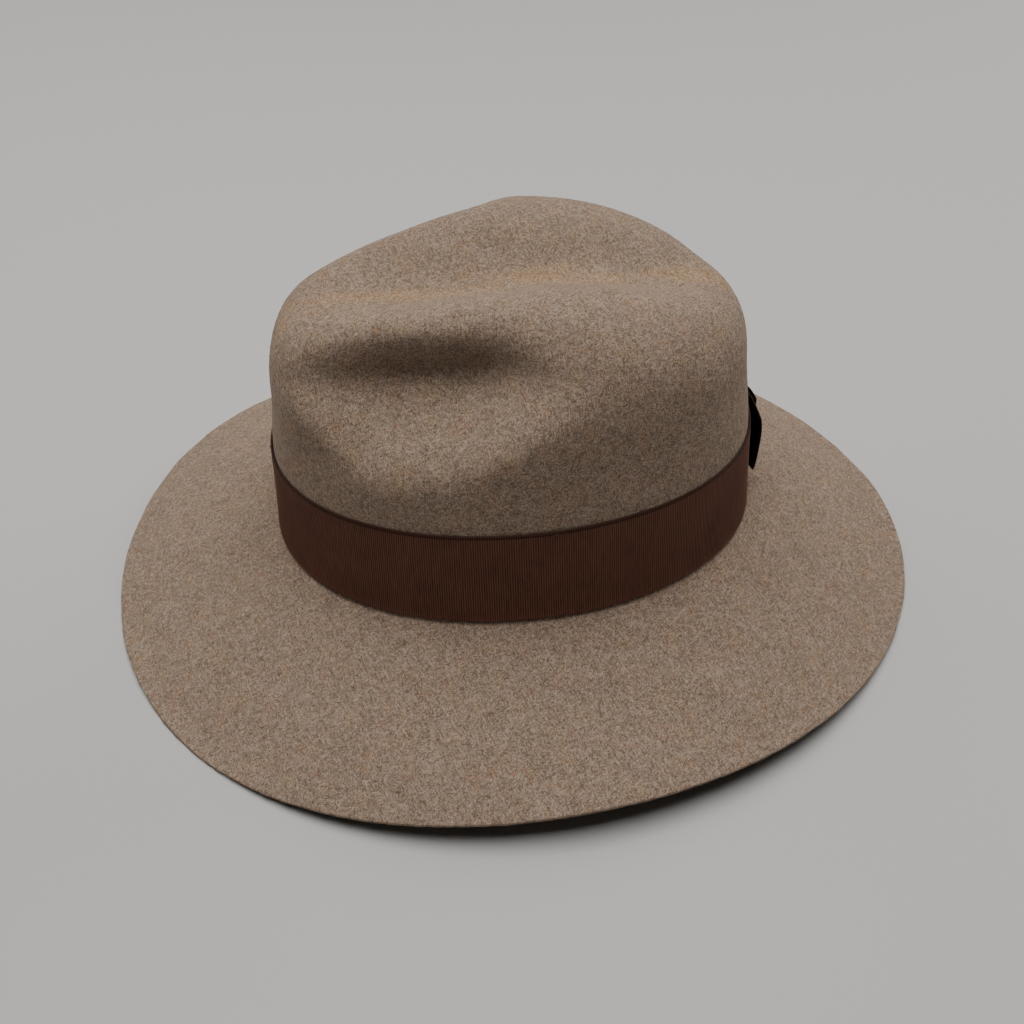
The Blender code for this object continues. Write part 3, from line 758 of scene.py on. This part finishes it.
rows, uv = [], []
ws = np.concatenate([[-1.0, -0.99, -0.96], np.linspace(-0.9, 0.9, 22), [0.96, 0.99, 1.0]])
for side, seq in ((1, ws), (0, ws[::-1])):
    kh, ko, ks = knot_path(420, 0.55 * side)
    front = smooth(ko, 3.8, 4.8)
    span = np.sin(math.pi * np.clip(kh / 40.8, 0, 1))
    for w in seq:
        half = KNOT_HALF * (1.0 - 0.06 * front * span)
        fold = 0.22 * front * math.cos(w * math.pi * 1.6) * span - 0.20 * front * abs(w) ** 3
        edge = -0.16 * (1 - float(smooth(np.array(1 - abs(w)), 0.0, 0.08))) * (1 if side else -1)
        ribs = 0.05 * np.cos(2 * math.pi * ks / RIB) * (1.0 if abs(w) < 0.86 else 0.0) * side
        rows.append(wall(back_angle(BOW_AT + w * half), kh + 0.5, ko + fold + (edge + ribs) * front))
        uv.append(np.stack([ks / RIB, np.full_like(ks, w * 6.6 + 7.0)], -1))
knot = skin("bow_knot_wrap", np.stack(rows), MAT_BOW_PAINTED_SHADE, True, True, uv=np.stack(uv))
finish_piece(knot, "bow_knot", slot="bow")


# ------------------------------------------------------------------ threads
def tube_grid(path, r, sides, closed):
    c = np.asarray(path, float)
    if closed:
        d = np.roll(c, -1, 0) - np.roll(c, 1, 0)
    else:
        d = np.gradient(c, axis=0)
    d /= np.linalg.norm(d, axis=1)[:, None]
    up = np.where(np.abs(d[:, 2:3]) < 0.9, np.array([[0.0, 0.0, 1.0]]), np.array([[1.0, 0.0, 0.0]]))
    e1 = np.cross(d, up)
    e1 /= np.linalg.norm(e1, axis=1)[:, None]
    e2 = np.cross(d, e1)
    a = np.arange(sides) * 2 * math.pi / sides
    r = np.asarray(r, float).reshape(-1, 1, 1)
    g = c[:, None, :] + r * (np.cos(a)[None, :, None] * e1[:, None, :] + np.sin(a)[None, :, None] * e2[:, None, :])
    arc_ = np.concatenate([[0], np.cumsum(np.linalg.norm(np.diff(c, axis=0), axis=1))])
    uv_ = np.stack(np.broadcast_arrays(arc_[:, None], (a / (2 * math.pi))[None, :]), -1)
    return g, uv_


def thread_piece(name, paths, r, mat, sides=8):
    """Several short threads as one mesh; each is a closed capsule."""
    V, Q, TR, UV = [], [], [], []
    off = 0
    for p in paths:
        n = len(p)
        f = np.linspace(0, 1, n)
        rr = r * np.sqrt(np.clip(1 - (2 * f - 1) ** 8, 0.05, 1))
        g, uv_ = tube_grid(p, rr, sides, False)
        q = grid_faces(n, sides, False, True) + off
        v = g.reshape(-1, 3)
        nv = len(v)
        i = np.arange(sides)
        TR.append(np.stack([np.full(sides, off + nv), off + i, off + (i + 1) % sides], -1))
        b = (n - 1) * sides
        TR.append(np.stack([np.full(sides, off + nv + 1), off + b + (i + 1) % sides, off + b + i], -1))
        V.append(v); V.append(np.array([p[0], p[-1]]))
        Q.append(q)
        UV.append(uv_.reshape(-1, 2)); UV.append(np.zeros((2, 2)))
        off += nv + 2
    V, Q, TR, UV = map(np.concatenate, (V, Q, TR, UV))
    a, b_, c_, d_ = (V[Q[:(len(paths[0]) - 1) * sides, k]] for k in range(4))
    m0 = np.array(paths[0]).mean(0)
    sign = np.sum(np.einsum("ij,ij->i", a - m0, np.cross(b_ - m0, c_ - m0)))
    if sign < 0:
        Q, TR = Q[:, ::-1], TR[:, ::-1]
    ob = build(name, V, Q, TR, UV)
    ob.data.materials.append(mat)
    return ob


for nm, ang in (("tack_stitch_front", 0.0), ("tack_stitch_left", 90.0), ("tack_stitch_right", 270.0)):
    t0 = math.radians(ang)
    w = np.linspace(-1.15, 1.15, 15)
    out = 0.62 + 0.62 * np.sqrt(np.clip(1 - (w / 1.2) ** 2, 0, 1)) + 0.05
    p = wall(t0 + w / HEAD_HALF_W, RIBBON_WIDTH - 1.0 + 0.5 + 0.25 * w, out)
    th = thread_piece(nm + "_thread", [p], 0.22, MAT_TACK)
    finish_piece(th, nm, slot="thread")

# ------------------------------------------------------------------ sweatband
IN0 = -(FELT + GAP)
IN1 = IN0 - BAND_T
hb = np.concatenate([[BAND_DOWN, BAND_DOWN + 0.15, BAND_DOWN + 0.5], np.linspace(BAND_DOWN + 1.0, BAND_UP - 1.0, 26),
                     [BAND_UP - 0.5, BAND_UP - 0.15, BAND_UP]])
nsw = 1100
TS = np.linspace(math.pi + slit, 3 * math.pi - slit, nsw)
arc = np.concatenate([[0], np.cumsum(np.linalg.norm(np.diff(wall(TS, 20.0, IN1), axis=0), axis=1))])


def band_lift(tt, h):
    return smooth(h, 14.0, BAND_UP) * (0.35 + 0.30 * np.sin(3 * tt + 1.2) + 0.14 * np.sin(8 * tt)) * 1.0


rows, uv = [], []
for h in hb:
    e = min(h - BAND_DOWN, BAND_UP - h)
    groove = -0.16 * math.exp(-((h - 1.2) / 0.5) ** 2) - 0.14 * math.exp(-((h - (BAND_UP - 1.6)) / 0.35) ** 2)
    o = IN1 - np.maximum(band_lift(TS, h), 0) + 0.35 * (1 - float(smooth(np.array(e), 0, 0.5))) - groove * 1.0
    rows.append(wall(TS, h + 0.5, o)); uv.append(np.stack([arc, np.full_like(arc, h)], -1))
for h in hb[::-1]:
    o = IN0 - np.maximum(band_lift(TS, h), 0)
    rows.append(wall(TS, h + 0.5, o)); uv.append(np.stack([arc, np.full_like(arc, h)], -1))
band = skin("sweatband_leather_band", np.stack(rows), MAT_LEATHER, True, False, uv=np.stack(uv), cap_cols=True)
finish_piece(band, "sweatband", slot="sweatband")

# reed and its tape
TR_ = np.arange(360) * 2 * math.pi / 360
g, uv_ = tube_grid(wall(TR_, REED_H + 0.5, -REED_D), REED_R, 12, True)
reed = skin("sweatband_reed_cord", g, MAT_REED, True, True, uv=uv_)
finish_piece(reed, "sweatband_reed", slot="reed")
TW = np.arange(900) * 2 * math.pi / 900
sec = []
for r, seq in ((REED_R + 0.35, np.linspace(0, 8, 21)), (REED_R + 0.72, np.linspace(8, 0, 21))):
    for k in seq:
        a = math.radians(90 + 35 + (360 - 70) * k / 8)
        sec.append((r * math.cos(a), r * math.sin(a)))
rows, uv = [], []
arcw = TW * 95.0
for i, (do, dh) in enumerate(sec):
    rows.append(wall(TW, REED_H + 0.5 + dh, -REED_D + do + 0.02 * np.sin(TW * 300)))
    uv.append(np.stack([arcw, np.full_like(arcw, i * 0.3)], -1))
tape = skin("reed_tape_fold", np.stack(rows), MAT_TAPE, True, True, uv=np.stack(uv))
finish_piece(tape, "reed_tape", slot="tape")

# machine stitches along the lower edge of the band
paths = []
NST = 190
for i in range(NST):
    a0 = 2 * math.pi * i / NST
    w = np.linspace(0.06, 0.80, 9)
    tt = a0 + w * 2 * math.pi / NST
    hh = 1.2 + 0.9 * (w - 0.43) * (1 if i % 2 else -1)
    oo = IN1 - 0.02 - 0.30 * np.sqrt(np.clip(1 - ((w - 0.43) / 0.42) ** 2, 0, 1))
    paths.append(wall(tt, hh + 0.5, oo))
st = thread_piece("sweatband_stitch_row", paths, 0.24, MAT_THREAD, sides=6)
finish_piece(st, "sweatband_stitching", slot="thread")


# little bow on the sweatband join, and the blank tag
def plate(name, uu, hh, o_face, o_back, mat, rounding=0.25):
    U, H = np.meshgrid(uu, hh, indexing="xy")
    rows, uv = [], []
    for j, h in enumerate(hh):
        rows.append(wall(back_angle(uu), h + 0.5, o_face(uu, h))); uv.append(np.stack([uu / RIB, np.full_like(uu, h)], -1))
    for j, h in enumerate(hh[::-1]):
        rows.append(wall(back_angle(uu), h + 0.5, o_back(uu, h))); uv.append(np.stack([uu / RIB, np.full_like(uu, h)], -1))
    return skin(name, np.stack(rows), mat, True, False, uv=np.stack(uv), cap_cols=True)


uu = np.linspace(-8.5, 8.5, 120)
rows, uv = [], []
hh = np.linspace(-1, 1, 24)


def bow_h(u, w):
    half = 3.0 + 3.0 * smooth(np.abs(u), 0.8, 6.0) - 0.6 * smooth(np.abs(u), 7.0, 8.5)
    return 15.0 + half * w


def bow_face(u, w):
    return IN1 - GAP - 0.50 - 0.95 * np.sin(math.pi * np.clip(np.abs(u) / 8.5, 0, 1)) ** 0.8 * (1 - 0.75 * w * w) \
        - 0.35 * np.exp(-(u / 1.4) ** 2) + 0.05 * np.cos(2 * math.pi * u / RIB)


for w in hh:
    rows.append(wall(back_angle(uu), bow_h(uu, w) + 0.5, bow_face(uu, w))); uv.append(np.stack([uu / RIB, np.full_like(uu, 5 * w + 8)], -1))
for w in hh[::-1]:
    rows.append(wall(back_angle(uu), bow_h(uu, w) + 0.5, np.full_like(uu, IN1 - GAP - 0.02))); uv.append(np.stack([uu / RIB, np.full_like(uu, 5 * w + 8)], -1))
ibow = skin("sweatband_bow_ribbon", np.stack(rows), MAT_RIBBON, True, False, uv=np.stack(uv), cap_cols=True)
finish_piece(ibow, "sweatband_bow", slot="ribbon")
uu = np.linspace(34.0, 56.0, 60)
hl = soft_rows(20.0, 34.0, 10, edge=0.5)
label = plate("size_tag_blank", uu, hl,
              lambda u, h: IN1 - GAP - 0.42 - 0.08 * np.exp(-((min(h - 20.0, 34.0 - h) - 1.0) / 0.3) ** 2) - np.maximum(band_lift(back_angle(u) + 2 * math.pi, h), 0),
              lambda u, h: IN1 - GAP - 0.10 - np.maximum(band_lift(back_angle(u) + 2 * math.pi, h), 0) + 0 * u, MAT_LABEL)
finish_piece(label, "size_label", slot="label")

# ------------------------------------------------------------------ floor, light, camera
floor_mat = Tree("floor")
floor_mat.set(Base_Color=(0.56, 0.555, 0.545, 1.0), Roughness=0.75, Specular_IOR_Level=0.2)
me = bpy.data.meshes.new("floor")
me.from_pydata([(-9, -9, 0), (9, -9, 0), (9, 9, 0), (-9, 9, 0)], [], [(0, 1, 2, 3)])
floor = bpy.data.objects.new("floor", me)
floor.location = (0, 0, -0.0002)
me.materials.append(floor_mat.mat)
bpy.context.scene.collection.objects.link(floor)

WORLD = 0.032
world = bpy.data.worlds.new("studio")
world.use_nodes = True
bg = world.node_tree.nodes["Background"]
bg.inputs[0].default_value = (0.93, 0.96, 1.0, 1.0)
bg.inputs[1].default_value = WORLD
bpy.context.scene.world = world


def area(name, loc, target, size, power, colour):
    d = bpy.data.lights.new(name, "AREA")
    d.shape = "RECTANGLE"
    d.size, d.size_y = size
    d.energy = power
    d.color = colour
    o = bpy.data.objects.new(name, d)
    o.location = loc
    import mathutils
    o.rotation_euler = (mathutils.Vector(target) - mathutils.Vector(loc)).to_track_quat("-Z", "Y").to_euler()
    bpy.context.scene.collection.objects.link(o)
    return o


def place(el, az, dist):
    e, z = math.radians(el), math.radians(az)
    return (dist * math.cos(e) * math.cos(z), dist * math.cos(e) * math.sin(z), 0.08 + dist * math.sin(e))


MID = (0.0, 0.0, 0.08)
area("overhead", place(89.5, 0, 1.5), MID, (1.35, 1.35), 24.4, (1.0, 0.985, 0.965))
area("front_right", place(50, 240, 1.6), MID, (1.2, 1.2), 6.0, (1.0, 0.985, 0.965))
area("back_right", place(22, 120, 1.8), MID, (1.4, 0.8), 10.5, (1.0, 0.985, 0.965))
area("low_right", place(22, 205, 1.8), MID, (1.4, 0.8), 3.6, (1.0, 0.985, 0.965))

cam = bpy.data.cameras.new("camera")
cam.sensor_width = 36.0
cam.lens = 44.05
cam.clip_start = 0.01
cam.clip_end = 60.0
co = bpy.data.objects.new("camera", cam)
HX, HY, HC, PHI, PITCH = 0.94, 436.2, 396.0, math.radians(10.8), math.radians(40.7)
cx = -HX * math.sin(PHI) + HY * math.cos(PHI)
cy = -(HX * math.cos(PHI) + HY * math.sin(PHI))
co.location = ((cx - CENTRE[0]) * MM, (cy - CENTRE[1]) * MM, HC * MM)
az = math.atan2(math.cos(PHI), math.sin(PHI))
co.rotation_euler = (math.pi / 2 - PITCH, 0.0, az)
bpy.context.scene.collection.objects.link(co)
bpy.context.scene.camera = co
